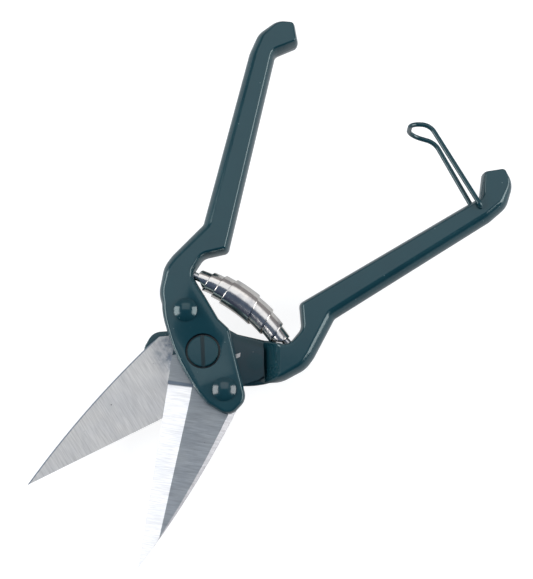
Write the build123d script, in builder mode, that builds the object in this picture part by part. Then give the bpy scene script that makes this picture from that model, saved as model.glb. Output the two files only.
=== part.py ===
from build123d import *
from math import pi, sin, cos, tan
import os

# Spring-loaded hand shears lying flat. The pivot runs along Z, the handles point to +Y.
# Each half is drawn as (out, along): out = away from the centre line on the handle's side,
# along = from the pivot towards the handles. The front half lies on top, its handle at -X.

# thicknesses through the pivot stack
body_thick = 13.0        # forged handle, full thickness
plate_thick = 4.0        # head plate over a blade
blade_thick = body_thick / 2 - plate_thick
washer_thick = 1.2
nut_thick = 5.0
mid_z = nut_thick + washer_thick + body_thick / 2    # where the two blades meet

# the two halves differ a little in how far they sit from the centre line
half_offset = 1.75       # subtracted from the front half, added to the rear half
blade_offset = 2.5

# forging
draft_in = 1.5           # side walls lean in by this much above and below the parting line
draft_high = 5.6
edge_round = 0.7
ramp_foot = 24.0         # distance from the pivot where the thinned head begins
ramp_top = 30.0
ramp_direction = Vector(0.807, 0.591, 0)      # out, along

# pivot
pivot_r = 4.0
pivot_hole_r = 4.05
screw_head_r = 6.35
screw_head_thick = 2.2
counterbore_r = 7.25
counterbore_deep = 2.4
slot_wide = 1.7
slot_deep = 1.1
slot_turn = 129.0
nut_across_flats = 13.0
nut_bevel = 0.8
washer_r = 8.5

# rivets, before the half's offset
rivet_places = {"tang": (17.85, 9.5), "heel": (-14.85, -7.6)}
rivet_r = 2.6
dome_r = 4.9
dome_high = 2.4
sink_r = 3.6
sink_deep = 1.2
dome_rim = 0.4

# blade, before the blade's offset
tip = (-28.6, -87.0)
edge_heel = (6.7, -19.2)             # where the ground edge stops
spine_middle = (-27.2, -45.0)
spine_heel = (-22.8, -10.5)
edge_left = 0.25                     # thickness left at the cutting edge
bevel_wide = 10.2
tip_drop = 1.0                       # how far the outer face falls towards the tip
spine_bevel_wide = 2.1
spine_bevel_deep = 0.9

# spring: stepped coils strung along a shallow arc between the necks
coil_radii = [3.2, 4.2, 5.1, 5.9, 5.1, 4.2, 3.2]
coil_ends = [-20.9, -17.1, -13.2, -8.7, 4.8, 12.0, 17.9, 20.9]
coil_wall = 1.3
spring_middle = (half_offset, 27.0)
spring_bow = 2.6
peg_r = 1.6
peg_in_spring = 4.5
peg_in_neck = 8.0

# wire catch in the rear half, heights counted from the parting line
wire_r = 1.0
foot_bend = 1.6
knee_bend = 3.5
bow_bend = 6.0
catch_hole_r = 1.05
catch_hole = (57.9, 117.0)
catch_leg_high = body_thick / 2 + foot_bend + 0.1
catch_foot_high = 3.0
# the bow is a little askew: its upper leg is the longer one
upper_bow = [Vector(20.6, 133.0, catch_leg_high), Vector(13.8, 128.9, 7.4)]
lower_bow = [Vector(14.1, 128.2, -7.4), Vector(25.4, 132.4, -catch_leg_high)]

front, rear = -1, 1


def place(side, point, offset=half_offset):
    # (out, along) of one half to x, y of the whole tool
    out, along = point
    return (side * (out + side * offset), along)


def lap_plane(side):
    # x along the ramp's direction, y up, origin at the pivot where the blades meet
    across = Vector(side * ramp_direction.X, ramp_direction.Y, 0)
    return Plane(origin=(0, 0, mid_z), x_dir=across, z_dir=across.cross(Vector(0, 0, 1)))


def casting(side):
    # one forging: hooked grip, bent neck and head plate, thinned on the blade's side
    rounded = [
        ((54.8, 138.2), 2.4), ((48.1, 130.9), 2.4), ((53.4, 121.2), 3.0), ((18.4, 39.9), 3.0),
        ((25.4, 31.9), 5.0), ((24.9, 23.3), 4.5), ((4.8, 14.7), 2.0), ((-1.5, 13.9), 4.0),
        ((-24.6, -5.5), 6.0), ((-23.4, -15.4), 5.0), ((-12.5, -16.4), 6.0),
        ((27.4, 5.5), 20.0), ((36.8, 25.0), 12.0), ((34.1, 43.4), 3.0), ((62.9, 115.6), 12.0),
        ((65.6, 126.6), 9.0),
    ]
    corners = [place(side, point) for point, _ in rounded]
    with BuildPart() as body:
        with BuildSketch(Plane.XY.offset(mid_z)):
            with BuildLine():
                Polyline(corners[:11])
                ThreePointArc(corners[10], place(side, (8.3, -8.8)), corners[11])
                ThreePointArc(corners[11], place(side, (34.6, 14.8)), corners[12])
                Polyline(corners[12:] + corners[:1])
            outline = make_face()
            for corner, (_, radius) in zip(corners, rounded):
                nearest = outline.vertices().sort_by_distance((*corner, mid_z))[0]
                outline = fillet(nearest, radius)
        extrude(amount=body_thick / 2, both=True)
        for end in (0, -1):
            flat = body.faces().sort_by(Axis.Z)[end]
            chamfer(flat.edges(), length=draft_in, length2=draft_high, reference=flat)
        for end in (0, -1):
            fillet(body.faces().sort_by(Axis.Z)[end].edges(), edge_round)
        below = blade_thick * -side
        with BuildSketch(lap_plane(side)):
            with BuildLine():
                lip = body_thick * side
                shift = side * half_offset * ramp_direction.X
                Polyline((-60, below), (ramp_foot + shift, below),
                         (ramp_top + shift, side * body_thick / 2),
                         (ramp_top + shift, lip), (-60, lip), close=True)
            make_face()
        extrude(amount=80, both=True, mode=Mode.SUBTRACT)
    return body


def rivet(side, at):
    # dome on the head plate, shank, and a countersunk end flush with the blade's flat face
    x, y = place(side, at)
    with BuildPart() as body:
        with BuildSketch(Plane(origin=(x, y, mid_z), x_dir=(1, 0, 0), z_dir=(0, side, 0))):
            with BuildLine():
                top = body_thick / 2
                rim = (dome_r, top + dome_rim)
                Polyline((0, 0), (sink_r, 0), (rivet_r, sink_deep), (rivet_r, top), (dome_r, top),
                         rim)
                dome = ThreePointArc(rim, (0, top + dome_high), (-dome_r, top + dome_rim),
                                     mode=Mode.PRIVATE)
                add(dome.trim(0, 0.5))
                Line((0, top + dome_high), (0, 0))
            make_face()
        revolve(axis=Axis((x, y, 0), (0, 0, 1)))
    return body


def spring_plane(reach):
    # square to the spring's arc, reach = distance along the arc from its middle
    ends = coil_ends[-1]
    arc_r = (ends ** 2 + spring_bow ** 2) / (2 * spring_bow)
    turn = reach / arc_r
    x = spring_middle[0] + arc_r * sin(turn)
    y = spring_middle[1] - arc_r * (1 - cos(turn))
    return Plane(origin=(x, y, mid_z), x_dir=(0, 0, 1), z_dir=(cos(turn), -sin(turn), 0))


def spring_peg(side):
    # pin driven into the neck, its nose inside the spring's end
    with BuildPart() as body:
        with BuildSketch(spring_plane(side * (coil_ends[-1] - peg_in_spring))):
            Circle(peg_r)
        extrude(amount=side * (peg_in_spring + peg_in_neck))
        nose = body.faces().sort_by(Axis.X)[0 if side == rear else -1]
        chamfer(nose.edges(), 0.5)
    return body


def blade(side, tang_side):
    heel = Vector(*place(side, edge_heel, blade_offset))
    point = Vector(*place(side, tip, blade_offset))
    edge_slope = (edge_heel[1] - tip[1]) / (edge_heel[0] - tip[0])
    side_out = tang_side - side * blade_offset
    side_along = edge_heel[1] + (side_out - edge_heel[0]) * edge_slope
    with BuildPart() as body:
        with BuildSketch(Plane.XY.offset(mid_z)):
            with BuildLine():
                corners = [(side_out, side_along), (23.4, 4.2), (24.3, 6.9), (17.5, 16.2),
                           (3.6, 11.4), (-1.6, 10.8), (-20.8, -5.6), spine_heel]
                Polyline([place(side, tip, blade_offset)]
                         + [place(side, corner, blade_offset if corner in (corners[0], spine_heel)
                                  else half_offset) for corner in corners])
                ThreePointArc(place(side, spine_heel, blade_offset),
                              place(side, spine_middle, blade_offset), (point.X, point.Y))
            make_face()
        extrude(amount=-side * blade_thick)
        outer = body.faces().sort_by(Axis.Z)[-1 if side == front else 0]
        spine = outer.edges().filter_by(GeomType.CIRCLE).sort_by(SortBy.LENGTH)[-1]
        chamfer(spine, length=spine_bevel_wide, length2=spine_bevel_deep, reference=outer)
        # the outer face falls towards the tip
        with BuildSketch(Plane.YZ):
            with BuildLine():
                Polyline((heel.Y, mid_z - side * blade_thick),
                         (point.Y * 1.1, mid_z - side * (blade_thick - 1.1 * tip_drop)),
                         (point.Y * 1.1, mid_z - side * body_thick),
                         (heel.Y, mid_z - side * body_thick), close=True)
            make_face()
        extrude(amount=80, both=True, mode=Mode.SUBTRACT)
        # the ground bevel behind the cutting edge
        along_edge = (point - heel).normalized()
        inward = Vector(-side * -along_edge.Y, -side * along_edge.X, 0)
        with BuildSketch(Plane(origin=(heel.X, heel.Y, mid_z), x_dir=inward, z_dir=along_edge)):
            with BuildLine():
                rise = (blade_thick - edge_left) / bevel_wide
                Polyline((-4, edge_left - 4 * rise), (bevel_wide, blade_thick),
                         (bevel_wide, body_thick), (-4, body_thick), close=True)
            make_face()
        extrude(amount=100, mode=Mode.SUBTRACT)
    return body


def bent_wire(points, bends):
    # straight runs joined by round bends, each bend starting its own distance from its corner
    pieces = []
    start = points[0]
    for before, corner, after, bend in zip(points, points[1:], points[2:], bends):
        back = (before - corner).normalized()
        ahead = (after - corner).normalized()
        half = back.get_angle(ahead) / 2
        reach = min(bend, (after - corner).length / 2, (corner - before).length / 2)
        turn_r = reach * tan(half * pi / 180)
        middle = (back + ahead).normalized()
        hub = corner + middle * (turn_r / sin(half * pi / 180))
        pieces.append(Edge.make_line(start, corner + back * reach))
        pieces.append(Edge.make_three_point_arc(corner + back * reach, hub - middle * turn_r,
                                                corner + ahead * reach))
        start = corner + ahead * reach
    pieces.append(Edge.make_line(start, points[-1]))
    return Wire(pieces)


def finish(body, name):
    body.part.label = name
    export_step(body.part, f"parts/{name}.step")


os.makedirs("parts", exist_ok=True)

rivets = {}
for side, half in ((front, "front"), (rear, "rear")):
    for end, at in rivet_places.items():
        rivets[half, end] = rivet(side, at)
        finish(rivets[half, end], f"{half}_{end}_rivet")

with BuildPart() as front_peg:
    add(spring_peg(front))
finish(front_peg, "front_spring_peg")

with BuildPart() as rear_peg:
    add(spring_peg(rear))
finish(rear_peg, "rear_spring_peg")

# head plate on top, turning on the pivot screw
with BuildPart() as front_handle:
    add(casting(front))
    with Locations((0, 0, mid_z + body_thick / 2)):
        CounterBoreHole(pivot_hole_r, counterbore_r, counterbore_deep)
    for end in rivet_places:
        add(rivets["front", end], mode=Mode.SUBTRACT)
    add(front_peg, mode=Mode.SUBTRACT)
finish(front_handle, "front_handle")

# head plate underneath, holding the pivot screw and the wire catch
with BuildPart() as rear_handle:
    add(casting(rear))
    with Locations((0, 0, mid_z)):
        Hole(pivot_r)
    with Locations((*catch_hole, mid_z)):
        Hole(catch_hole_r)
    for end in rivet_places:
        add(rivets["rear", end], mode=Mode.SUBTRACT)
    add(rear_peg, mode=Mode.SUBTRACT)
finish(rear_handle, "rear_handle")

with BuildPart() as front_blade:
    add(blade(front, tang_side=10.6))
    with Locations((0, 0, mid_z)):
        Hole(pivot_hole_r)
    for end in rivet_places:
        add(rivets["front", end], mode=Mode.SUBTRACT)
finish(front_blade, "front_blade")

with BuildPart() as rear_blade:
    add(blade(rear, tang_side=13.2))
    with Locations((0, 0, mid_z)):
        Hole(pivot_r)
    for end in rivet_places:
        add(rivets["rear", end], mode=Mode.SUBTRACT)
finish(rear_blade, "rear_blade")

# slotted screw in the counterbore, its end flush with the nut
with BuildPart() as pivot_screw:
    head_low = mid_z + body_thick / 2 - counterbore_deep
    with BuildSketch(Plane.XY.offset(head_low)):
        Circle(screw_head_r)
    extrude(amount=screw_head_thick)
    chamfer(pivot_screw.edges().sort_by(Axis.Z)[-1], 0.35)
    with BuildSketch(Plane.XY.offset(head_low + screw_head_thick)):
        Rectangle(3 * screw_head_r, slot_wide, rotation=slot_turn)
    extrude(amount=-slot_deep, mode=Mode.SUBTRACT)
    with BuildSketch(Plane.XY):
        Circle(pivot_r)
    extrude(amount=head_low)
finish(pivot_screw, "pivot_screw")

with BuildPart() as pivot_washer:
    with BuildSketch(Plane.XY.offset(nut_thick)):
        Circle(washer_r)
        Circle(pivot_r + 0.2, mode=Mode.SUBTRACT)
    extrude(amount=washer_thick)
    chamfer(pivot_washer.edges().group_by(Axis.Z)[0].sort_by(SortBy.LENGTH)[-1], 0.2)
finish(pivot_washer, "pivot_washer")

with BuildPart() as pivot_nut:
    with BuildSketch():
        RegularPolygon(nut_across_flats / 2, 6, major_radius=False)
        Circle(pivot_r, mode=Mode.SUBTRACT)
    extrude(amount=nut_thick)
    # corners rounded off on the outer side
    with BuildSketch(Plane.XZ):
        with BuildLine():
            flat_r = nut_across_flats / 2
            Polyline((0, 0), (flat_r * 0.98, 0), (flat_r * 1.2, nut_bevel), (flat_r * 1.2, nut_thick),
                     (0, nut_thick), close=True)
        make_face()
    revolve(mode=Mode.INTERSECT)
finish(pivot_nut, "pivot_nut")

with BuildPart() as volute_spring:
    for coil_r, low, high in zip(coil_radii, coil_ends, coil_ends[1:]):
        lap = 0.3 if coil_r < max(coil_radii) else 0
        with BuildSketch(spring_plane((low + high) / 2)):
            Circle(coil_r)
            Circle(coil_r - coil_wall, mode=Mode.SUBTRACT)
        extrude(amount=(high - low) / 2 + lap, both=True)
finish(volute_spring, "volute_spring")

# a bail of wire whose two feet meet in the rear handle's hole
with BuildPart() as wire_catch:
    upper = [Vector(*catch_hole, catch_foot_high), Vector(*catch_hole, catch_leg_high)]
    lower = [Vector(point.X, point.Y, -point.Z) for point in reversed(upper)]
    corners = [point + Vector(0, 0, mid_z) for point in upper + upper_bow + lower_bow + lower]
    route = bent_wire(corners, [foot_bend, knee_bend, bow_bend, bow_bend, knee_bend, foot_bend])
    with BuildSketch(Plane(route @ 0, z_dir=route % 0)):
        Circle(wire_r)
    sweep(path=route)
finish(wire_catch, "wire_catch")
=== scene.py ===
import math

import bmesh
import bpy
import numpy as np
from mathutils import Matrix, Vector


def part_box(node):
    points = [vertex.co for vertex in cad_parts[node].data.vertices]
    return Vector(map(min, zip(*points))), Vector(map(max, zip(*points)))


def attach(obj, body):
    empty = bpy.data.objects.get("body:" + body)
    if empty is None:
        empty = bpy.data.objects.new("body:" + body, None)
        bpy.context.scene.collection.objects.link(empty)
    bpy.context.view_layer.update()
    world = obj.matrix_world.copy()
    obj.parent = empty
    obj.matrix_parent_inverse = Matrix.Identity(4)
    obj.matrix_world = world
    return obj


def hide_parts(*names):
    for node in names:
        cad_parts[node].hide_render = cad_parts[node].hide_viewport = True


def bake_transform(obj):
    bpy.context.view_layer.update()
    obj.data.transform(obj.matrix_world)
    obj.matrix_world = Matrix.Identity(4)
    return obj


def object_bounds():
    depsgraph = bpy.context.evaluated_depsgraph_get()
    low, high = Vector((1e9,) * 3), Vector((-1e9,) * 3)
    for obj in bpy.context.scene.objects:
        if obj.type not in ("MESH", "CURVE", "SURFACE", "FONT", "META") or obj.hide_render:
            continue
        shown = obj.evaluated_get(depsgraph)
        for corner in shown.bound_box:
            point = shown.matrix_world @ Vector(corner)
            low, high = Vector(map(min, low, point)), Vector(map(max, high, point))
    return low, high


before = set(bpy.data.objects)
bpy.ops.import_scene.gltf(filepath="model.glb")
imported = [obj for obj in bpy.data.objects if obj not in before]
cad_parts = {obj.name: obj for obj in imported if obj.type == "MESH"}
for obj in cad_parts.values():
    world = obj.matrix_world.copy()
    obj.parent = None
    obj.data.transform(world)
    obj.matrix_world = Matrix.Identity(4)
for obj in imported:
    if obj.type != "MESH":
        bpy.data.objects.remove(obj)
cadBounds = [list(corner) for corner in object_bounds()]
print("frame loaded:", len(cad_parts), "nodes")

mm = 0.001
white = (1.0, 1.0, 1.0, 1.0)
floorHigh = cadBounds[0][2]
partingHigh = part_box("rear_blade")[1].z   # the plane where the two blades slide on each other


def feed(tree, node, inputs):
    # each input is a constant, or the socket that is linked to it
    for name, value in inputs.items():
        if isinstance(value, bpy.types.NodeSocket):
            tree.links.new(value, node.inputs[name])
        else:
            node.inputs[name].default_value = value


def addNode(tree, kind, inputs=None, **settings):
    node = tree.nodes.new(kind)
    for name, value in settings.items():
        setattr(node, name, value)
    feed(tree, node, inputs or {})
    return node


def placeGroup(tree, group, inputs):
    return addNode(tree, "ShaderNodeGroup", inputs, node_tree=group).outputs


def maths(tree, operation, first, second=0.5, third=0.0):
    return addNode(tree, "ShaderNodeMath", {0: first, 1: second, 2: third}, operation=operation).outputs[0]


def smoothBand(tree, value, low, high, toLow=0.0, toHigh=1.0):
    inputs = {"Value": value, "From Min": low, "From Max": high, "To Min": toLow, "To Max": toHigh}
    return addNode(tree, "ShaderNodeMapRange", inputs, interpolation_type="SMOOTHSTEP").outputs["Result"]


def mixColour(tree, factor, first, second, blend="MIX"):
    inputs = {0: factor, 6: first, 7: second}     # a Mix node's sockets for colours
    return addNode(tree, "ShaderNodeMix", inputs, data_type="RGBA", blend_type=blend).outputs[2]


def mixValue(tree, factor, first, second):
    return addNode(tree, "ShaderNodeMix", {0: factor, 2: first, 3: second}, data_type="FLOAT").outputs[0]


def splitAxes(tree, vector):
    return addNode(tree, "ShaderNodeSeparateXYZ", {0: vector}).outputs


def noiseOf(tree, vector, scale, detail, roughness=0.5):
    inputs = {"Vector": vector, "Scale": scale, "Detail": detail, "Roughness": roughness}
    return addNode(tree, "ShaderNodeTexNoise", inputs).outputs["Fac"]


def rareDots(tree, vector, cellScale, amount, share, size):
    # 1 in the middle of a few cells picked at random; size is where a dot's soft rim starts and ends
    cells = addNode(tree, "ShaderNodeTexVoronoi", {"Vector": vector, "Scale": cellScale}, feature="F1")
    pick = addNode(tree, "ShaderNodeTexWhiteNoise", {"Vector": cells.outputs["Position"]})
    least = maths(tree, "SUBTRACT", 1.0, maths(tree, "MULTIPLY", amount, share))
    rare = maths(tree, "GREATER_THAN", pick.outputs["Value"], least)
    return maths(tree, "MULTIPLY", rare, smoothBand(tree, cells.outputs["Distance"], *size, 1.0, 0.0))


def newGroup(name, inputs, outputs):
    # empty shader group; inputs and outputs map a socket's name to (kind, starting value)
    tree = bpy.data.node_groups.new(name, "ShaderNodeTree")
    for side, sockets in (("INPUT", inputs), ("OUTPUT", outputs)):
        for label, (kind, value) in sockets.items():
            socket = tree.interface.new_socket(label, in_out=side, socket_type="NodeSocket" + kind)
            if value is not None:
                socket.default_value = value
    start = tree.nodes.new("NodeGroupInput")
    end = tree.nodes.new("NodeGroupOutput")
    return tree, start.outputs, end.inputs


peelSettings = {
    "peelShare": 0.35,          # height of the orange peel against the long waves
    "peelDetail": 2.0,
    "waveDetail": 3.0,
    "speckCells": 420.0,        # a speck of dust sits in a cell this fine
    "speckShare": 0.2,          # share of the cells that hold one where Dust is 1
    "speckSize": (0.0, 0.14),
    "speckHeight": 0.5,
}


def makePeel(settings):
    # sprayed enamel: long waves of the coat, fine orange peel and a little settled dust
    tree, given, out = newGroup(
        "sprayedCoat",
        {"Vector": ("Vector", None), "Peel Scale": ("Float", 900.0),
         "Wave Scale": ("Float", 90.0), "Dust": ("Float", 0.5)},
        {"Height": ("Float", 0.0), "Cloud": ("Float", 0.5), "Dust Mask": ("Float", 0.0)})
    peel = noiseOf(tree, given["Vector"], given["Peel Scale"], settings["peelDetail"])
    wave = noiseOf(tree, given["Vector"], given["Wave Scale"], settings["waveDetail"])
    dust = rareDots(tree, given["Vector"], settings["speckCells"], given["Dust"],
                    settings["speckShare"], settings["speckSize"])
    height = maths(tree, "MULTIPLY_ADD", peel, settings["peelShare"], wave)
    tree.links.new(maths(tree, "MULTIPLY_ADD", dust, settings["speckHeight"], height), out["Height"])
    tree.links.new(wave, out["Cloud"])
    tree.links.new(dust, out["Dust Mask"])
    return tree


edgeSettings = {
    "riseWide": 0.18,           # how slowly the mask starts as the surface turns to face z
    "fallWide": 0.03,           # and how fast it ends before the flat
    "noiseScale": 260.0,
    "noiseDetail": 4.0,
    "breakFrom": 0.9,           # times Break Up: the noise level where wear starts
    "breakTo": 0.75,
}


def makeEdgeWear(settings):
    # 1 on the rounded edges of a face that looks along z, broken up by noise: the coat is thin there
    tree, given, out = newGroup(
        "thinEdge",
        {"Normal": ("Vector", None), "Vector": ("Vector", None), "Low": ("Float", 0.35),
         "High": ("Float", 0.94), "Break Up": ("Float", 0.5)},
        {"Mask": ("Float", 0.0)})
    upward = maths(tree, "ABSOLUTE", splitAxes(tree, given["Normal"])["Z"])
    riseEnd = maths(tree, "ADD", given["Low"], settings["riseWide"])
    rising = smoothBand(tree, upward, given["Low"], riseEnd)
    fallStart = maths(tree, "SUBTRACT", given["High"], settings["fallWide"])
    falling = smoothBand(tree, upward, fallStart, given["High"], 1.0, 0.0)
    noise = noiseOf(tree, given["Vector"], settings["noiseScale"], settings["noiseDetail"])
    breakStart = maths(tree, "MULTIPLY", given["Break Up"], settings["breakFrom"])
    broken = smoothBand(tree, noise, breakStart, settings["breakTo"])
    edge = maths(tree, "MULTIPLY", rising, falling)
    tree.links.new(maths(tree, "MULTIPLY", edge, broken), out["Mask"])
    return tree


brushSettings = {
    "coarse": (0.45, 0.6, 0.45),    # scale of the coarse streaks against the fine ones
    "fineRoughness": 0.6,
    "streakDetail": 2.0,
    "fineShare": 0.6,
    "coarseShare": 0.4,
    "contrast": (0.3, 0.7),
    "cloudScale": 95.0,
    "cloudDetail": 3.0,
    "pitCells": 330.0,
    "pitShare": 0.12,
    "pitSize": (0.02, 0.13),
}


def makeBrushing(settings):
    # ground steel: short fine streaks along the turned x axis, soft clouds and a few dark pits
    tree, given, out = newGroup(
        "groundSteel",
        {"Vector": ("Vector", None), "Turn": ("Vector", None), "Fine": ("Float", 3200.0),
         "Length": ("Float", 180.0), "Pits": ("Float", 0.4)},
        {"Height": ("Float", 0.0), "Streak": ("Float", 0.5), "Cloud": ("Float", 0.5),
         "Pit Mask": ("Float", 0.0)})
    turn = {"Vector": given["Vector"], "Rotation": given["Turn"]}
    turned = addNode(tree, "ShaderNodeMapping", turn).outputs[0]
    lengths = {0: given["Length"], 1: given["Fine"], 2: given["Length"]}
    scaled = {0: turned, 1: addNode(tree, "ShaderNodeCombineXYZ", lengths).outputs[0]}
    along = addNode(tree, "ShaderNodeVectorMath", scaled, operation="MULTIPLY").outputs[0]
    coarse = {0: along, 1: settings["coarse"]}
    coarseAlong = addNode(tree, "ShaderNodeVectorMath", coarse, operation="MULTIPLY").outputs[0]
    fineNoise = noiseOf(tree, along, 1.0, settings["streakDetail"], settings["fineRoughness"])
    coarseNoise = noiseOf(tree, coarseAlong, 1.0, settings["streakDetail"])
    coarsePart = maths(tree, "MULTIPLY", coarseNoise, settings["coarseShare"])
    streak = maths(tree, "MULTIPLY_ADD", fineNoise, settings["fineShare"], coarsePart)
    cloud = noiseOf(tree, given["Vector"], settings["cloudScale"], settings["cloudDetail"])
    pits = rareDots(tree, given["Vector"], settings["pitCells"], given["Pits"],
                    settings["pitShare"], settings["pitSize"])
    tree.links.new(streak, out["Height"])
    tree.links.new(smoothBand(tree, streak, *settings["contrast"]), out["Streak"])
    tree.links.new(cloud, out["Cloud"])
    tree.links.new(pits, out["Pit Mask"])
    return tree


peelGroup = makePeel(peelSettings)
edgeGroup = makeEdgeWear(edgeSettings)
brushGroup = makeBrushing(brushSettings)
print("shared node groups made")


enamelLook = {
    "deep": (0.004, 0.031, 0.044, 1.0),     # the coat where it is thick
    "thin": (0.014, 0.070, 0.084, 1.0),     # where it pulls off an edge
    "cloudShare": 0.35,                     # how far the long waves thin the coat
    "dust": (0.10, 0.16, 0.17, 1.0),
    "gapShadeAndGrimeColour": (0.003, 0.004, 0.012, 1.0),    # painted shade and grime in a gap
    "roughness": 0.17,
    "cloudRoughness": 0.10,
    "dustRoughness": 0.3,
    "peelHeight": 0.03 * mm,
    "coat": 0.30,
    "coatRoughness": 0.09,
    "sheenTint": (0.80, 1.0, 1.0, 1.0),
    "gapRadius": 6.9 * mm,                  # the gap between the screw's head and its seat
    "gapWide": (0.27 * mm, 0.45 * mm),
}


def startMaterial(name, painted=False):
    material = bpy.data.materials.new(name)
    material.use_nodes = True
    tree = material.node_tree
    tree.nodes.clear()
    shader = tree.nodes.new("ShaderNodeBsdfPrincipled")
    output = tree.nodes.new("ShaderNodeOutputMaterial")
    tree.links.new(shader.outputs[0], output.inputs["Surface"])
    shader.inputs["Specular Tint"].default_value = enamelLook["sheenTint"] if painted else white
    shader.inputs["Coat Roughness"].default_value = enamelLook["coatRoughness"]
    where = tree.nodes.new("ShaderNodeTexCoord").outputs
    return material, tree, shader, where


def finishShader(tree, shader, parts, bumpHeight, metal=0.0, coat=0.0):
    # parts are the colour, the roughness and the bump's height; metal and coat are constants or masks
    colour, roughness, height = parts
    bump = addNode(tree, "ShaderNodeBump", {"Strength": 1.0, "Distance": bumpHeight, "Height": height})
    feed(tree, shader, {"Base Color": colour, "Roughness": roughness, "Normal": bump.outputs[0],
                        "Metallic": metal, "Coat Weight": coat})


def enamelParts(tree, where, wear, peelScale, dust):
    # colour, roughness and bump height of the green coat
    coat = placeGroup(tree, peelGroup, {"Vector": where["Object"], "Peel Scale": peelScale, "Dust": dust})
    edge = placeGroup(tree, edgeGroup, {"Normal": where["Normal"], "Vector": where["Object"],
                                        "Break Up": 1.0 - wear})
    thinning = maths(tree, "MULTIPLY", coat["Cloud"], enamelLook["cloudShare"])
    tint = mixColour(tree, thinning, enamelLook["deep"], enamelLook["thin"])
    tint = mixColour(tree, maths(tree, "MULTIPLY", edge["Mask"], wear), tint, enamelLook["thin"])
    tint = mixColour(tree, coat["Dust Mask"], tint, enamelLook["dust"])
    rough = maths(tree, "MULTIPLY_ADD", coat["Cloud"], enamelLook["cloudRoughness"], enamelLook["roughness"])
    rough = maths(tree, "MULTIPLY_ADD", coat["Dust Mask"], enamelLook["dustRoughness"], rough)
    return tint, rough, coat["Height"]


def distanceTo(tree, axes, x, y):
    offX = maths(tree, "SUBTRACT", axes["X"], x)
    offY = maths(tree, "SUBTRACT", axes["Y"], y)
    squares = maths(tree, "MULTIPLY_ADD", offX, offX, maths(tree, "MULTIPLY", offY, offY))
    return maths(tree, "SQRT", squares)


def gapShadeAndGrime(tree, where):
    # 1 on a ring round the pivot, the gap between the screw and its seat: painted shade and grime there
    fromPivot = distanceTo(tree, splitAxes(tree, where["Object"]), 0.0, 0.0)
    away = maths(tree, "ABSOLUTE", maths(tree, "SUBTRACT", fromPivot, enamelLook["gapRadius"]))
    return smoothBand(tree, away, *enamelLook["gapWide"], 1.0, 0.0)


def enamelMaterial(name, wear=0.35, peelScale=900.0, dust=0.5, besideGap=False):
    material, tree, shader, where = startMaterial(name, painted=True)
    colour, rough, height = enamelParts(tree, where, wear, peelScale, dust)
    if besideGap:
        # darken the gap round the screw's head: painted shade and some grime
        colour = mixColour(tree, gapShadeAndGrime(tree, where), colour, enamelLook["gapShadeAndGrimeColour"])
    finishShader(tree, shader, (colour, rough, height), enamelLook["peelHeight"], coat=enamelLook["coat"])
    return material


steelLook = {
    # rear, flat and bevel hold a colour, a metallic and a roughness
    "rear": ((0.78, 0.77, 0.745, 1.0), 0.70, 0.42),
    "flat": ((0.575, 0.61, 0.63, 1.0), 0.85, 0.36),
    "bevel": (white, 0.70, 0.50),
    # the front flat next to the head plate, darker with painted shade
    "flatShadedByPlate": (0.45, 0.48, 0.49, 1.0),
    "spineColour": (0.81, 0.79, 0.79, 1.0),
    "spineMetallic": 0.55,                  # the spine is as rough as the flat
    "dull": (0.76, 0.76, 0.76, 1.0),        # what is left of the colour in a dark streak
    "cloud": (0.93, 0.94, 0.96, 1.0),       # and in a cloud
    "cloudBand": (0.3, 0.7),
    "streakRoughness": 0.14,
    "pit": (0.05, 0.05, 0.055, 1.0),
    # dark colour of the smear beside the rear head plate and of the line along the rear spine, also the
    # painted shadow where the front bevel ends
    "smearAndShadow": (0.20, 0.25, 0.31, 1.0),
    "grainHeight": 0.01 * mm,
}
bladeLook = {
    "frontGrain": -27.0,                    # degrees, the way the grinding ran
    "rearGrain": 21.8,
    "frontPits": 0.6,
    "rearPits": 0.5,
    "paintFrom": (3.0 * mm, 3.3 * mm),      # the coat on a tang starts this far past the pivot
    "paintSlope": 0.807,                    # direction of the tang, as in the ramp of the casting
    "paintWander": 1.2 * mm,
    "wanderScale": 500.0,
    "tangWear": 0.1,
    "tangPeel": 900.0,
    "tangDust": 0.6,
    "chipPlace": (12.4 * mm, 7.5 * mm),
    "chipSquash": 0.75,
    "chipWander": 0.8 * mm,
    "chipRim": (1.3 * mm, 1.5 * mm),
    "heel": (-4.2 * mm, -19.2 * mm),        # where the front blade's ground edge stops
    "tip": (31.1 * mm, -87.0 * mm),
    "bevelWide": (10.2 * mm, 11.2 * mm),
    "bevelLean": (-0.17, -0.08),            # x of the surface's normal from bevel to flat
    "spineLean": (0.1, 0.3),                # and from flat to spine
    "plateShadeFades": (-14.0 * mm, 60.0 * mm),    # painted shade: the flat is darker next to the head plate and lighter towards the tip
    "plungeShift": 0.5 * mm,
    # painted shadow line at the bevel's plunge: where it fades out and how dark it gets
    "plungeShadowLine": (0.4 * mm, 1.1 * mm),
    "plungeShadowDark": 0.9,
    "spine": ((-20.3, -10.5), (-24.7, -45.0), (-26.1, -87.0)),     # on the rear blade, mm
    "spineLine": (0.35 * mm, 0.7 * mm),
    "spineDark": 0.85,
    "smearPlace": (-9.0 * mm, -5.0 * mm),
    "smearReach": (5.0 * mm, 14.0 * mm),
    "smudgeScale": 420.0,
    "smudgeBand": (0.35, 0.7, 0.25, 0.95),  # noise levels, and how dark the smear is at each
}


def grainParts(tree, where, turn, pits, fine=3200.0, length=180.0):
    return placeGroup(tree, brushGroup, {"Vector": where["Object"], "Turn": (0.0, 0.0, math.radians(turn)),
                                         "Fine": fine, "Length": length, "Pits": pits})


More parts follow.
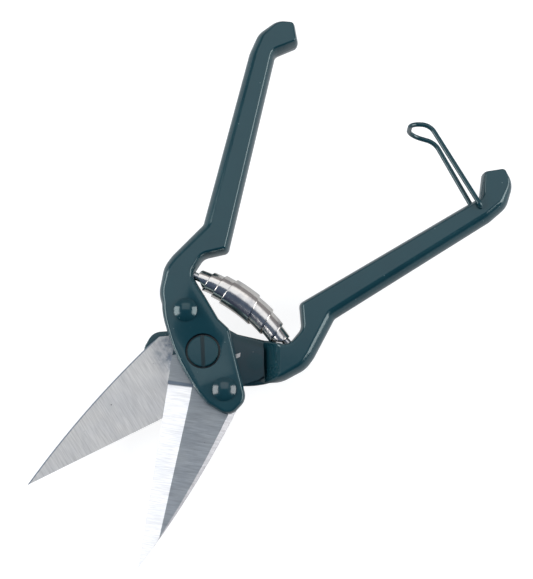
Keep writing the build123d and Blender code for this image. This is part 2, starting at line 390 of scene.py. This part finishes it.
def shadeSteel(tree, grain, colour, rough, spread=steelLook["streakRoughness"]):
    # colour, roughness and bump height of ground steel whose clean colour is given
    streak = mixColour(tree, grain["Streak"], steelLook["dull"], white)
    cloudy = smoothBand(tree, grain["Cloud"], *steelLook["cloudBand"])
    cloud = mixColour(tree, cloudy, steelLook["cloud"], white)
    tint = mixColour(tree, 1.0, colour, streak, "MULTIPLY")
    tint = mixColour(tree, 1.0, tint, cloud, "MULTIPLY")
    tint = mixColour(tree, grain["Pit Mask"], tint, steelLook["pit"])
    return tint, maths(tree, "MULTIPLY_ADD", grain["Streak"], spread, rough), grain["Height"]


def circleThrough(points):
    # centre and radius of the circle through three points: both chords' perpendiculars meet at the centre
    (ax, ay), (bx, by), (cx, cy) = points
    twice = 2 * (ax * (by - cy) + bx * (cy - ay) + cx * (ay - by))
    a, b, c = ax * ax + ay * ay, bx * bx + by * by, cx * cx + cy * cy
    x = (a * (by - cy) + b * (cy - ay) + c * (ay - by)) / twice
    y = (a * (cx - bx) + b * (ax - cx) + c * (bx - ax)) / twice
    return x, y, math.hypot(ax - x, ay - y)


def rearSteel(tree, where, axes):
    # the wide flat of the rear blade: a dark line along the spine and a smear beside the head plate
    grain = grainParts(tree, where, bladeLook["rearGrain"], bladeLook["rearPits"])
    clean, metal, rough = steelLook["rear"]
    x, y, radius = (value * mm for value in circleThrough(bladeLook["spine"]))
    inside = maths(tree, "ABSOLUTE", maths(tree, "SUBTRACT", distanceTo(tree, axes, x, y), radius))
    line = smoothBand(tree, inside, *bladeLook["spineLine"], bladeLook["spineDark"], 0.0)
    smudge = noiseOf(tree, where["Object"], bladeLook["smudgeScale"], 5.0)
    near = distanceTo(tree, axes, *bladeLook["smearPlace"])
    smearAndShadow = maths(tree, "MULTIPLY", smoothBand(tree, near, *bladeLook["smearReach"], 1.0, 0.0),
                  smoothBand(tree, smudge, *bladeLook["smudgeBand"]))
    colour = mixColour(tree, maths(tree, "MAXIMUM", line, smearAndShadow), clean, steelLook["smearAndShadow"])
    return shadeSteel(tree, grain, colour, rough), metal


def alongTo(tree, offX, offY, way):
    # how far an offset reaches along a unit direction
    return maths(tree, "MULTIPLY_ADD", offX, way.x, maths(tree, "MULTIPLY", offY, way.y))


def frontSteel(tree, where, axes):
    # outer side of the front blade: greyer flat with painted shade next to the head plate, bright bevel and
    # spine, painted shadow line where the bevel ends
    grain = grainParts(tree, where, bladeLook["frontGrain"], bladeLook["frontPits"])
    flatClean, flatMetal, flatRough = steelLook["flat"]
    bevelClean, bevelMetal, bevelRough = steelLook["bevel"]
    heel, tip = Vector(bladeLook["heel"]), Vector(bladeLook["tip"])
    run = (tip - heel).normalized()
    offX = maths(tree, "SUBTRACT", axes["X"], heel.x)
    offY = maths(tree, "SUBTRACT", axes["Y"], heel.y)
    past = alongTo(tree, offX, offY, run)
    inward = alongTo(tree, offX, offY, Vector((-run.y, run.x)))
    lean = splitAxes(tree, where["Normal"])["X"]
    bevel = smoothBand(tree, lean, *bladeLook["bevelLean"], 1.0, 0.0)
    spine = smoothBand(tree, lean, *bladeLook["spineLean"])
    # painted shade: the flat darkens towards the head plate
    plateShadeFades = smoothBand(tree, past, *bladeLook["plateShadeFades"])
    colour = mixColour(tree, plateShadeFades, steelLook["flatShadedByPlate"], flatClean)
    colour = mixColour(tree, bevel, colour, bevelClean)
    colour = mixColour(tree, spine, colour, steelLook["spineColour"])
    # painted shadow of the plunge cut, across the bevel only
    offPlunge = maths(tree, "ABSOLUTE", maths(tree, "ADD", past, bladeLook["plungeShift"]))
    plungeShadow = smoothBand(tree, offPlunge, *bladeLook["plungeShadowLine"], bladeLook["plungeShadowDark"], 0.0)
    within = smoothBand(tree, inward, *bladeLook["bevelWide"], 1.0, 0.0)
    colour = mixColour(tree, maths(tree, "MULTIPLY", plungeShadow, within), colour, steelLook["smearAndShadow"])
    metal = mixValue(tree, spine, mixValue(tree, bevel, flatMetal, bevelMetal), steelLook["spineMetallic"])
    rough = mixValue(tree, bevel, flatRough, bevelRough)
    return shadeSteel(tree, grain, colour, rough), metal


def paintedSteel(tree, shader, mask, steel, metal, paint):
    # steel where the mask is 0, enamel where it is 1
    bare = maths(tree, "SUBTRACT", 1.0, mask)
    parts = (mixColour(tree, mask, steel[0], paint[0]), mixValue(tree, mask, steel[1], paint[1]),
             mixValue(tree, mask, steel[2], paint[2]))
    finishShader(tree, shader, parts, steelLook["grainHeight"], maths(tree, "MULTIPLY", bare, metal),
                 maths(tree, "MULTIPLY", mask, enamelLook["coat"]))


def outsideChip(tree, axes, wander):
    # 0 in a flake knocked off the coat beside the front casting, diamond shaped, and 1 round it
    offX = maths(tree, "ABSOLUTE", maths(tree, "SUBTRACT", axes["X"], bladeLook["chipPlace"][0]))
    offY = maths(tree, "ABSOLUTE", maths(tree, "SUBTRACT", axes["Y"], bladeLook["chipPlace"][1]))
    reach = maths(tree, "MULTIPLY_ADD", offY, bladeLook["chipSquash"], offX)
    ragged = maths(tree, "MULTIPLY_ADD", wander, bladeLook["chipWander"], reach)
    return smoothBand(tree, ragged, *bladeLook["chipRim"])


def bladeMaterial(name, side):
    # ground steel blade whose tang went through the spray booth with its casting; side is 1 on the rear half
    material, tree, shader, where = startMaterial(name)
    axes = splitAxes(tree, where["Object"])
    slope = bladeLook["paintSlope"]
    way = Vector((side * slope, math.sqrt(1 - slope * slope)))
    wander = noiseOf(tree, where["Object"], bladeLook["wanderScale"], 3.0)
    edge = maths(tree, "MULTIPLY_ADD", wander, bladeLook["paintWander"],
                 alongTo(tree, axes["X"], axes["Y"], way))
    mask = smoothBand(tree, edge, *bladeLook["paintFrom"])
    steel, metal = rearSteel(tree, where, axes) if side > 0 else frontSteel(tree, where, axes)
    paint = enamelParts(tree, where, bladeLook["tangWear"], bladeLook["tangPeel"], bladeLook["tangDust"])
    if side > 0:
        mask = maths(tree, "MULTIPLY", mask, outsideChip(tree, axes, wander))
    paintedSteel(tree, shader, mask, steel, metal, paint)
    return material


rivetLook = {
    "wear": 0.25,
    "peelScale": 1100.0,
    "dust": 0.3,
    "bareDeep": (0.2 * mm, 0.3 * mm),       # the flush end keeps its bare steel this deep
}


def heelRivetMaterial(name, look):
    # enamelled head whose flush end on the sliding face is ground with the blade
    material, tree, shader, where = startMaterial(name)
    axes = splitAxes(tree, where["Object"])
    away = maths(tree, "ABSOLUTE", maths(tree, "SUBTRACT", axes["Z"], partingHigh))
    mask = smoothBand(tree, away, *look["bareDeep"])
    steel, metal = rearSteel(tree, where, axes)
    paint = enamelParts(tree, where, look["wear"], look["peelScale"], look["dust"])
    paintedSteel(tree, shader, mask, steel, metal, paint)
    return material


def rivetMaterial(name, look):
    return enamelMaterial(name, look["wear"], look["peelScale"], look["dust"])


springLook = {
    "streaks": (6.0, 90.0, 1.0),            # along the strip and across it
    "streakDetail": 4.0,
    "dark": (0.70, 0.68, 0.66, 1.0),
    "bright": (0.98, 0.94, 0.88, 1.0),
    "stain": (0.55, 0.54, 0.55, 1.0),       # where the turns rub
    "stainScale": 180.0,
    "stainBand": (0.5, 0.8),
    "roughness": 0.15,
    "streakRoughness": 0.10,
}
pegLook = {
    "colour": (0.7, 0.7, 0.7, 1.0),
    "roughness": 0.22,
    "streakRoughness": 0.1,
    "grain": (3000.0, 900.0),               # fineness and length of the streaks
    "pits": 0.2,
}


def springMaterial(name, look):
    # polished spring strip, rolled along its length, with stains where the turns rub
    material, tree, shader, where = startMaterial(name)
    stretch = addNode(tree, "ShaderNodeMapping", {"Vector": where["UV"], "Scale": look["streaks"]})
    streak = noiseOf(tree, stretch.outputs[0], 1.0, look["streakDetail"])
    cloud = noiseOf(tree, where["Object"], look["stainScale"], 3.0)
    colour = mixColour(tree, streak, look["dark"], look["bright"])
    colour = mixColour(tree, smoothBand(tree, cloud, *look["stainBand"]), colour, look["stain"])
    rough = maths(tree, "MULTIPLY_ADD", streak, look["streakRoughness"], look["roughness"])
    finishShader(tree, shader, (colour, rough, streak), steelLook["grainHeight"], 1.0)
    return material


def pegMaterial(name, look):
    material, tree, shader, where = startMaterial(name)
    grain = grainParts(tree, where, 0.0, look["pits"], *look["grain"])
    parts = shadeSteel(tree, grain, look["colour"], look["roughness"], look["streakRoughness"])
    finishShader(tree, shader, parts, steelLook["grainHeight"], 1.0)
    return material


finishes = {
    "front_handle": enamelMaterial("castingEnamel", besideGap=True),
    "rear_handle": enamelMaterial("castingEnamelRear"),
    "front_blade": bladeMaterial("frontBladeSteel", -1),
    "rear_blade": bladeMaterial("rearBladeSteel", 1),
    "front_tang_rivet": rivetMaterial("rivetEnamel", rivetLook),
    "rear_tang_rivet": rivetMaterial("rivetEnamelRear", rivetLook),
    "front_heel_rivet": heelRivetMaterial("heelRivet", rivetLook),
    "rear_heel_rivet": heelRivetMaterial("heelRivetRear", rivetLook),
    "pivot_screw": enamelMaterial("screwEnamel", wear=0.8, peelScale=1200.0, dust=0.6, besideGap=True),
    "pivot_washer": enamelMaterial("washerEnamel", wear=0.5),
    "pivot_nut": enamelMaterial("nutEnamel", wear=0.7),
    "wire_catch": enamelMaterial("wireEnamel", wear=0.0, peelScale=1500.0, dust=0.2),
    "front_spring_peg": pegMaterial("pegSteel", pegLook),
    "rear_spring_peg": pegMaterial("pegSteelRear", pegLook),
}
for nodeName, material in finishes.items():
    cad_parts[nodeName].material_slots[0].material = material
print("finishes on", len(finishes), "nodes")


castingSettings = {
    # the outline's corners as out, along, corner radius and width of the side's slope there, all in mm
    "corners": [(54.8, 137.4, 2.2, 0.8), (48.1, 130.9, 2.2, 1.0), (53.4, 121.2, 3.0, 1.8),
                (18.4, 39.9, 2.6, 1.7), (25.4, 31.9, 5.0, 1.6), (24.9, 23.3, 4.5, 1.3),
                (4.8, 14.7, 2.0, 1.0), (-1.5, 13.9, 4.0, 1.0), (-24.6, -5.5, 6.0, 0.9),
                (-23.4, -15.4, 5.0, 0.9), (-12.5, -16.4, 6.0, 0.9), (-6.85, -15.2, 75.0, 0.9),
                (3.99, -11.17, 75.0, 1.0), (14.13, -5.61, 75.0, 1.1), (23.35, 1.38, 60.0, 1.4),
                (27.4, 5.5, 20.0, 1.7), (31.84, 9.06, 22.0, 2.2), (36.78, 19.31, 22.0, 2.8),
                (36.8, 25.0, 12.0, 3.2), (34.1, 43.4, 3.0, 3.5), (62.8, 115.4, 12.0, 3.4),
                (64.9, 124.6, 9.0, 3.2), (61.6, 134.4, 8.0, 1.9)],
    "offset": 1.75,            # the front half sits nearer the centre line by this, the rear half further out
    "halfThick": 6.5,
    "plateLow": 2.5,           # underside of the head plate, from the parting plane
    "plateEdge": 0.5,
    "rampFrom": 24.0,
    "rampTo": 30.0,
    "rampWay": (0.807, 0.591),
    "wallTurn": 60.0,          # degrees the slope turns in from upright before it meets the flat
    "wallShare": (0.12, 0.86), # the stretch of that turn that the rings follow
    "wallSteps": 7,
    "ridgeSoft": 0.45,
    "ridgeSteps": 5,
    "flatRings": (1.6, 2.4),   # two rings in on the flat, times ridgeSoft
    "seam": 0.05,              # the mould line left round the middle of the casting
    "seamHigh": (0.03, 0.07),  # height shares of its lip and of its foot
    "seamLift": 1.0,           # the seam stays this far above the underside
    "leastRadius": 0.35,
    "cornerReach": 0.48,       # share of its shorter side that a corner's arc may take
    "cornerSteps": 10,
    "stepLength": 1.3,
    "boreR": 7.25,
    "boreDeep": 2.4,
    "boreRim": ((0.3, 0.0), (0.1, 0.08), (0.0, 0.3)),      # out from the wall, down from the face
    "boreSteps": 96,
    "sharpFrom": 32.0,
}


def cornerFrame(points):
    # unit directions into and out of each corner of a closed polygon, and the inward bisector stretched
    # so that moving a corner by inset times it moves both its sides by inset
    nextOne = np.roll(points, -1, 0)
    into, out = points - np.roll(points, 1, 0), nextOne - points
    reach = np.minimum(np.hypot(*into.T), np.hypot(*out.T))
    into = into / np.hypot(*into.T)[:, None]
    out = out / np.hypot(*out.T)[:, None]
    turnWay = np.sign(np.sum(points[:, 0] * nextOne[:, 1] - nextOne[:, 0] * points[:, 1]))
    normalIn = np.stack([-into[:, 1], into[:, 0]], -1) * turnWay
    normalOut = np.stack([-out[:, 1], out[:, 0]], -1) * turnWay
    middle = (normalIn + normalOut) / np.hypot(*(normalIn + normalOut).T)[:, None]
    share = np.sum(middle * normalIn, 1)
    convex = np.sign(into[:, 0] * out[:, 1] - into[:, 1] * out[:, 0]) * turnWay
    return into, out, reach, middle / share[:, None], convex, np.arccos(np.clip(np.sum(into * out, 1), -1, 1))


def outlineRing(corners, radii, inset, settings):
    # closed outline moved in by inset; each corner is the conic (1-t)^2 S + 2 w t (1-t) V + t^2 E over the
    # same weights' sum, with w the cosine of half its turn, which is a true arc
    stretch, convex = cornerFrame(corners)[3:5]
    moved = corners + stretch * inset[:, None]
    radii = np.maximum(radii - convex * inset, settings["leastRadius"])
    into, out, reach, _, _, turn = cornerFrame(moved)
    tangent = np.minimum(radii * np.tan(turn / 2), reach * settings["cornerReach"])
    start, end = moved - into * tangent[:, None], moved + out * tangent[:, None]
    t = np.linspace(0, 1, settings["cornerSteps"])[None, :, None]
    first, second, third = (1 - t) ** 2, 2 * np.cos(turn / 2)[:, None, None] * t * (1 - t), t ** 2
    ring = first * start[:, None] + second * moved[:, None] + third * end[:, None]
    return (ring / (first + second + third)).reshape(-1, 2)


def wallProfile(settings):
    # (share of the slope's width, extra mm inward, height share -1..1), bottom flat to top flat:
    # an arc of wallTurn degrees, inset 1 - cos and height sin, then a soft ridge on to the flat
    turn, soft = np.radians(settings["wallTurn"]), settings["ridgeSoft"]
    angles = np.linspace(*settings["wallShare"], settings["wallSteps"]) * turn
    share, high = (1 - np.cos(angles)) / (1 - np.cos(turn)), np.sin(angles) / np.sin(turn)
    t = np.linspace(0, 1, settings["ridgeSteps"] + 1)[1:]
    ridgeShare = (1 - t) ** 2 * share[-1] + 2 * t * (1 - t) + t ** 2
    ridgeHigh = (1 - t) ** 2 * high[-1] + 2 * t * (1 - t) + t ** 2
    share = np.concatenate([[0, 0], share, ridgeShare, [1, 1]])
    high = np.concatenate([settings["seamHigh"], high, ridgeHigh, [1, 1]])
    extra = np.concatenate([[-settings["seam"], 0], angles * 0, t ** 2 * soft,
                            np.array(settings["flatRings"]) * soft])
    return (np.concatenate([share[::-1], share]), np.concatenate([extra[::-1], extra]),
            np.concatenate([-high[::-1], high]))


def castingRings(settings, side):
    # surface P(u, v): u round the outline, v up the wall, heights stretched between the underside and the top
    table = np.array(settings["corners"])
    radii, slopeHigh = table[:, 2], table[:, 3]
    corners = np.stack([side * (table[:, 0] + side * settings["offset"]), table[:, 1]], -1)
    way = np.array([side * settings["rampWay"][0], settings["rampWay"][1]])
    shift = side * settings["offset"] * settings["rampWay"][0]
    foot, top = settings["rampFrom"] + shift, settings["rampTo"] + shift

    def pastRamp(points):
        return np.clip((points @ way - foot) / (top - foot), 0, 1)

    slopeLow = settings["plateEdge"] + (slopeHigh - settings["plateEdge"]) * pastRamp(corners)
    base = outlineRing(corners, radii, slopeHigh * 0, settings)
    gaps = np.hypot(*(np.roll(base, -1, 0) - base).T)
    counts = np.ceil(gaps / settings["stepLength"]).astype(int)
    # each stretch of the outline is cut into its own count of equal parts
    spot = np.repeat(np.arange(len(base)), counts)
    part = (np.arange(len(spot)) - np.repeat(np.cumsum(counts) - counts, counts)) / counts[spot]
    rings = []
    for share, extra, level in zip(*wallProfile(settings)):
        width = slopeHigh if level > 0 else slopeLow
        ring = outlineRing(corners, radii, width * share + extra, settings)
        ring = ring[spot] + part[:, None] * (ring[(spot + 1) % len(ring)] - ring[spot])
        low = settings["plateLow"] - (settings["plateLow"] + settings["halfThick"]) * pastRamp(ring)
        middle = np.maximum(0, low + settings["seamLift"])
        high = middle + level * np.where(level > 0, settings["halfThick"] - middle, middle - low)
        rings.append(np.concatenate([ring, high[:, None]], 1))
    return np.array(rings), way, foot, top


def loopBetween(start, end, count):
    # indices start..end going forward round a closed loop of count points
    return ((start + np.arange((end - start) % count + 1)) % count).tolist()


def ringQuads(first, steps, rows):
    # quads between rows closed rings of steps points each, the first one starting at index first
    around = np.arange(steps)[None, :]
    lower = first + np.arange(rows - 1)[:, None] * steps
    here, beside = lower + around, lower + (around + 1) % steps
    return np.stack([here, beside, beside + steps, here + steps], -1).reshape(-1, 4).tolist()


def undersideFaces(past, foot, top):
    # head plate, ramp and grip are three flats that meet along the ramp's two lines
    head, grip = past < foot, past > top
    count = len(past)
    headStart, gripStart = (int(np.flatnonzero(zone & ~np.roll(zone, 1))[0]) for zone in (head, grip))
    headEnd, gripEnd = (int(np.flatnonzero(zone & ~np.roll(zone, -1))[0]) for zone in (head, grip))
    ramp = loopBetween(headEnd, gripStart, count) + loopBetween(gripEnd, headStart, count)
    return [loopBetween(headStart, headEnd, count), loopBetween(gripStart, gripEnd, count), ramp]


def boreParts(flat, last, first, settings):
    # counterbore: rings round the pivot, at radius boreR + out and depth down. The outer face's ring, flat,
    # starts at index last, the bore's rings at index first, and the face is split in two along the x axis
    steps, count = settings["boreSteps"], len(flat)
    angle = np.arange(steps) / steps * 2 * np.pi
    wall = settings["boreRim"] + ((0.0, settings["boreDeep"]),)
    out, down = (np.array(column)[:, None] for column in zip(*wall))
    rings = np.stack([(settings["boreR"] + out) * np.cos(angle), (settings["boreR"] + out) * np.sin(angle),
                      angle * 0 + settings["halfThick"] - down], -1)
    faces = ringQuads(first, steps, len(wall))
    faces.append((first + (len(wall) - 1) * steps + np.arange(steps)).tolist())
    outside = np.abs(flat[:, 0]) > settings["boreR"]
    offAxis = np.where(outside, np.abs(flat[:, 1]), np.inf)
    right = int(np.argmin(np.where(flat[:, 0] > 0, offAxis, np.inf)))
    left = int(np.argmin(np.where(flat[:, 0] < 0, offAxis, np.inf)))
    nextOne = np.roll(flat, -1, 0)
    turnsLeft = np.sum(flat[:, 0] * nextOne[:, 1] - nextOne[:, 0] * flat[:, 1]) > 0
    over = loopBetween(right, left, count) if turnsLeft else loopBetween(left, right, count)[::-1]
    below = loopBetween(left, right, count) if turnsLeft else loopBetween(right, left, count)[::-1]
    half = steps // 2
    for face, rim in ((over, loopBetween(0, half, steps)), (below, loopBetween(half, 0, steps))):
        faces.append([last + k for k in face] + [first + k for k in rim][::-1])
    return rings.reshape(-1, 3), faces


def linkPiece(name, mesh):
    piece = bpy.data.objects.new(name, mesh)
    bpy.context.scene.collection.objects.link(piece)
    return piece


def castingMesh(name, side, settings):
    # rings and flats joined into one closed shell; z is counted from the parting plane, up on the front
    # half and down on the rear one
    rings, way, foot, top = castingRings(settings, side)
    levels, count, _ = rings.shape
    last = (levels - 1) * count
    points = rings.reshape(-1, 3)
    faces = ringQuads(0, count, levels) + undersideFaces(rings[0][:, :2] @ way, foot, top)
    if side > 0:
        faces.append([last + k for k in range(count)])
    else:
        borePoints, boreFaces = boreParts(rings[-1], last, levels * count, settings)
        points = np.concatenate([points, borePoints])
        faces += boreFaces
    place = np.stack([points[:, 0], points[:, 1], partingHigh / mm - side * points[:, 2]], -1) * mm
    mesh = bpy.data.meshes.new(name)
    mesh.from_pydata(place.tolist(), [], faces)
    work = bmesh.new()
    work.from_mesh(mesh)
    bmesh.ops.recalc_face_normals(work, faces=work.faces)
    work.to_mesh(mesh)
    work.free()
    mesh.polygons.foreach_set("use_smooth", np.ones(len(mesh.polygons), bool))
    mesh.set_sharp_from_angle(angle=math.radians(settings["sharpFrom"]))
    return linkPiece(name, mesh)


for name, side, body, node in (("front_casting", -1, "front_half", "front_handle"),
                               ("rear_casting", 1, "rear_half", "rear_handle")):
    casting = castingMesh(name, side, castingSettings)
    casting.data.materials.append(finishes[node])
    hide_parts(node)
    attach(casting, body)
    print(name, "made:", len(casting.data.polygons), "faces")


springSettings = {
    "turns": 4.2,              # from the outer end of the strip to the inner one
    "thick": 0.50,             # strip thickness, mm
    "middle": (1.75, 27.0),    # crown of the arc that the spring is bent to, mm
    "halfSpan": 22.7,
    "cutBack": 3.0,            # how much shorter the ends are on the pivot's side, clear of the necks
    "bow": 3.7,
    "tilt": -1.3,              # degrees, the rear end hangs lower
    # start, slope and curl over the turns, in mm, of the strip's two edges along the arc and of its radius
    "leftEdge": (-8.7, -4.5, -0.10),
    "rightEdge": (4.6, 8.0, -0.55),
    "outerRadius": (6.25, -0.72, -0.06),
    "firstTurn": 0.5,          # the turn at which those three start from
    "cornerSteps": 4,
    "stepsPerTurn": 120,
    "acrossSteps": 40,
    "uvLength": 10.0,          # mm along the arc to one UV unit
    "blendFrom": (-0.019, 0.024, 0.0127),
    "blendTo": (0.0226, 0.024, 0.0127),
}


def stripEdges(turn, settings):
    # start + slope * past + curl * past^2 for both tapering edges and for the radius, past counted in turns
    past = turn - settings["firstTurn"]
    left, right, radius = (start + slope * past + curl * past ** 2 for start, slope, curl in
                           (settings["leftEdge"], settings["rightEdge"], settings["outerRadius"]))
    lower = np.maximum(0, -np.cos(2 * np.pi * turn - np.pi / 2))
    reach = settings["halfSpan"] - settings["cutBack"] * lower
    return np.maximum(left, -reach), np.minimum(right, reach), radius


def stripSection(settings):
    # closed section in (share across 0..1, overhang in mm, depth): outer face, right edge, inner face, left
    # edge; both edges are half circles
    flat = np.linspace(0, 1, settings["acrossSteps"])
    edge = np.linspace(0, np.pi, settings["cornerSteps"] * 2 + 1)[1:-1]
    bulge, dip = settings["thick"] / 2 * np.sin(edge), settings["thick"] / 2 * (1 - np.cos(edge))
    share = np.concatenate([flat, np.ones(len(edge)), flat[::-1], np.zeros(len(edge))])
    over = np.concatenate([flat * 0, bulge, flat * 0, -bulge])
    depth = np.concatenate([flat * 0, dip, flat * 0 + settings["thick"], dip[::-1]])
    return share, over, depth


def springGrid(settings):
    # surface P(t, s): t runs along the coiled strip, s round its closed section.
    # P = arc(a) + (r - depth) * (cos f * n + sin f * z), with f = 2 pi t, a between the strip's edges at t,
    # arc(a) a circle of the bow's radius, n its outward normal, and depth 0..thick with rounded corners
    span, bow, thick = settings["halfSpan"], settings["bow"], settings["thick"]
    arcR = (span ** 2 + bow ** 2) / (2 * bow)
    turns = np.linspace(0.0, settings["turns"], int(settings["turns"] * settings["stepsPerTurn"]) + 1)
    left, right, radius = (line[:, None] for line in stripEdges(turns, settings))
    share, over, depth = stripSection(settings)
    along = left + thick / 2 + (right - left - thick) * share + over
    reach = radius - depth
    turnAngle = 2 * np.pi * turns[:, None] - np.pi / 2
    sideways, upward = reach * np.cos(turnAngle), reach * np.sin(turnAngle)
    bend = along / arcR
    out, rise = (arcR + sideways) * np.sin(bend), (arcR + sideways) * np.cos(bend) - arcR
    tilt = np.radians(settings["tilt"])
    x = settings["middle"][0] + out * np.cos(tilt) - rise * np.sin(tilt)
    y = settings["middle"][1] + out * np.sin(tilt) + rise * np.cos(tilt)
    points = np.stack([x, y, partingHigh / mm + upward], -1) * mm
    uv = np.stack([np.broadcast_to(turns[:, None], along.shape), along / settings["uvLength"]], -1)
    return points, uv


def springMesh(name, settings):
    points, uv = springGrid(settings)
    rows, around, _ = points.shape
    start = list(range(around))
    end = [(rows - 1) * around + k for k in start]
    faces = ringQuads(0, around, rows) + [start[::-1], end]
    mesh = bpy.data.meshes.new(name)
    mesh.from_pydata(points.reshape(-1, 3).tolist(), [], faces)
    layer = mesh.uv_layers.new(name="strip")
    corners = np.zeros(len(mesh.loops), np.int32)
    mesh.loops.foreach_get("vertex_index", corners)
    layer.data.foreach_set("uv", uv.reshape(-1, 2)[corners].astype(np.float32).reshape(-1))
    mesh.polygons.foreach_set("use_smooth", np.ones(len(mesh.polygons), bool))
    mesh.validate()
    mesh.update()
    return linkPiece(name, mesh)


spring = springMesh("volute_strip", springSettings)
spring.data.materials.append(springMaterial("springSteel", springLook))
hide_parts("volute_spring")
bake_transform(spring)
print("spring wound:", len(spring.data.polygons), "faces")


studio = {
    "cameraAt": (0.07098, -0.03257, 0.6051),
    "lookAt": (0.00544, 0.03692, 0.0127),
    "pictureUp": (-0.5906, 0.8070, 0.0),
    "lens": 96.5,
    "sensor": 36.0,
    "clipStart": 0.01,
    "sideReach": 1.1,
    "sideHigh": 25.0,       # degrees above the floor
    "sideSize": (0.95, 0.8),
    "sidePower": 13.0,
    "topLean": 27.5,        # degrees from straight up
    "topReach": 1.0,
    "topSize": (1.0, 0.84),
    "topPower": 2.5,
    "roomLow": (0.012, 0.020, 0.050, 1.0),  # the dark room near the floor
    "roomHigh": (0.055, 0.085, 0.140, 1.0), # and overhead
    "roomRise": (0.3, 0.95),
    "roomBack": (0.26, 0.25, 0.26, 1.0),    # the paler wall the hooks point at
    "backFrom": (0.35, 0.8),
    "floorHalf": 4.0,
    "floorTint": (0.30, 0.31, 0.32, 1.0),   # what the floor sends back on to the tool
    "floorMottle": 1.05,
    "floorMottleScale": 40.0,
    "floorRoughness": 0.9,
    "floorShine": 0.1,
    "floorBounce": 0.30,
    "floorGlow": 0.55,
}


def aimAt(thing, place, target, up):
    # -z of the thing points at the target, its y as near to up as it can be
    forward = (Vector(target) - Vector(place)).normalized()
    right = forward.cross(Vector(up)).normalized()
    above = right.cross(forward)
    turn = Matrix((right, above, -forward)).transposed().to_4x4()
    thing.matrix_world = Matrix.Translation(place) @ turn


def addSoftbox(name, direction, reach, size, power, up):
    light = bpy.data.lights.new(name, "AREA")
    light.shape = "RECTANGLE"
    light.size, light.size_y = size
    light.energy = power
    thing = linkPiece(name, light)
    target = Vector(studio["lookAt"])
    aimAt(thing, target + Vector(direction).normalized() * reach, target, up)
    thing.visible_camera = False


def makeLights():
    up = Vector(studio["pictureUp"]).normalized()
    right = Vector((up.y, -up.x, 0))
    tall = Vector((0, 0, 1))
    high = math.radians(studio["sideHigh"])
    for name, way in (("softboxLeft", -1), ("softboxRight", 1)):
        toward = right * way * math.cos(high) + tall * math.sin(high)
        addSoftbox(name, toward, studio["sideReach"], studio["sideSize"], studio["sidePower"], tall)
    lean = math.radians(studio["topLean"])
    addSoftbox("softboxTop", up * math.sin(lean) + tall * math.cos(lean), studio["topReach"],
               studio["topSize"], studio["topPower"], up)


def mixForCamera(tree, others, camera):
    # one shader for the camera's own rays, another for all the rest
    rays = addNode(tree, "ShaderNodeLightPath")
    inputs = {0: rays.outputs["Is Camera Ray"], 1: others.outputs[0], 2: camera.outputs[0]}
    return addNode(tree, "ShaderNodeMixShader", inputs).outputs[0]


def makeRoom():
    # the tool mirrors a dark room with a paler wall behind, the camera sees plain white
    world = bpy.data.worlds.new("paleRoom")
    world.use_nodes = True
    tree = world.node_tree
    tree.nodes.clear()
    toward = tree.nodes.new("ShaderNodeTexCoord").outputs["Generated"]
    height = smoothBand(tree, splitAxes(tree, toward)["Z"], *studio["roomRise"])
    way = {0: toward, 1: studio["pictureUp"]}
    facing = addNode(tree, "ShaderNodeVectorMath", way, operation="DOT_PRODUCT").outputs["Value"]
    dark = mixColour(tree, height, studio["roomLow"], studio["roomHigh"])
    room = mixColour(tree, smoothBand(tree, facing, *studio["backFrom"]), dark, studio["roomBack"])
    felt = addNode(tree, "ShaderNodeBackground", {"Color": room})
    seen = addNode(tree, "ShaderNodeBackground", {"Color": white, "Strength": 1.0})
    addNode(tree, "ShaderNodeOutputWorld", {0: mixForCamera(tree, felt, seen)})
    bpy.context.scene.world = world


def floorMaterial():
    # the camera sees a pale glowing sheet, the tool only its dimmer bounce
    material, tree, shader, where = startMaterial("paleFloor")
    mottle = noiseOf(tree, where["Object"], studio["floorMottleScale"], 3.0)
    lighter = [studio["floorMottle"] * part for part in studio["floorTint"]]
    feed(tree, shader, {"Base Color": mixColour(tree, mottle, studio["floorTint"], lighter),
                        "Roughness": studio["floorRoughness"], "Specular IOR Level": studio["floorShine"],
                        "Emission Color": white, "Emission Strength": studio["floorBounce"]})
    glow = addNode(tree, "ShaderNodeEmission", {"Color": white, "Strength": studio["floorGlow"]})
    seen = addNode(tree, "ShaderNodeAddShader", {0: glow.outputs[0], 1: shader.outputs[0]})
    tree.links.new(mixForCamera(tree, shader, seen), tree.nodes["Material Output"].inputs["Surface"])
    return material


def makeFloor():
    half = studio["floorHalf"]
    corners = [(x, y, floorHigh) for x, y in ((-half, -half), (half, -half), (half, half), (-half, half))]
    mesh = bpy.data.meshes.new("floor")
    mesh.from_pydata(corners, [], [(0, 1, 2, 3)])
    mesh.materials.append(floorMaterial())
    linkPiece("floor", mesh)


def makeCamera():
    camera = bpy.data.cameras.new("camera")
    camera.sensor_fit = "HORIZONTAL"
    camera.sensor_width = studio["sensor"]
    camera.lens = studio["lens"]
    camera.clip_start = studio["clipStart"]
    thing = linkPiece("camera", camera)
    aimAt(thing, studio["cameraAt"], studio["lookAt"], studio["pictureUp"])
    bpy.context.scene.camera = thing


makeLights()
makeRoom()
makeFloor()
makeCamera()
bpy.context.scene.view_settings.view_transform = "Standard"
print("studio set")
